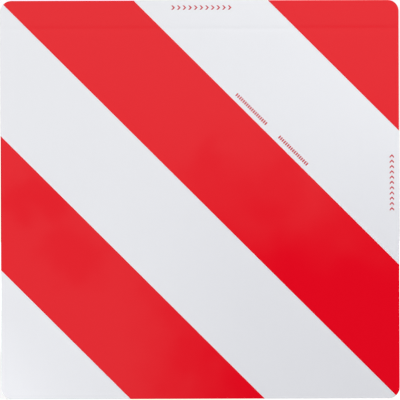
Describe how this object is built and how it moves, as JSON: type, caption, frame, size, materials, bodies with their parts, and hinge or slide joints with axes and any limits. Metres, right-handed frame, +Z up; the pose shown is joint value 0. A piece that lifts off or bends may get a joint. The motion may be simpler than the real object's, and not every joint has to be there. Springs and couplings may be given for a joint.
{
  "type": "vehicle rear marker board",
  "caption": "Square rear marker board with rounded corners: a flat aluminium composite panel faced with white reflective film and slanting red warning stripes.",
  "frame": {"origin": "centre of the flat rear face, the side that lies against the vehicle or holder", "axes": "Z is up with the board upright, X is to the right of someone who looks at the striped face, and the face looks towards -Y, so the rear face looks towards +Y"},
  "size_m": [0.423, 0.0034, 0.423],
  "materials": {
    "skin_aluminium": "mill finish, fine rolling grain",
    "core_plastic": "black polyethylene, sawn edge",
    "adhesive": "clear acrylic adhesive coat",
    "white_reflective_film": "glass-bead reflective film, smooth gloss surface",
    "red_stripe_film": "clear red film on the reflective film, smooth gloss surface"
  },
  "bodies": {
    "root": {"rear_skin": "skin_aluminium", "panel_core": "core_plastic", "front_skin": "skin_aluminium", "film_adhesive": "adhesive", "white_film": "white_reflective_film", "red_stripe_lower_1": "red_stripe_film", "red_stripe_middle": "red_stripe_film", "red_stripe_upper_1": "red_stripe_film"}
  },
  "joints": []
}
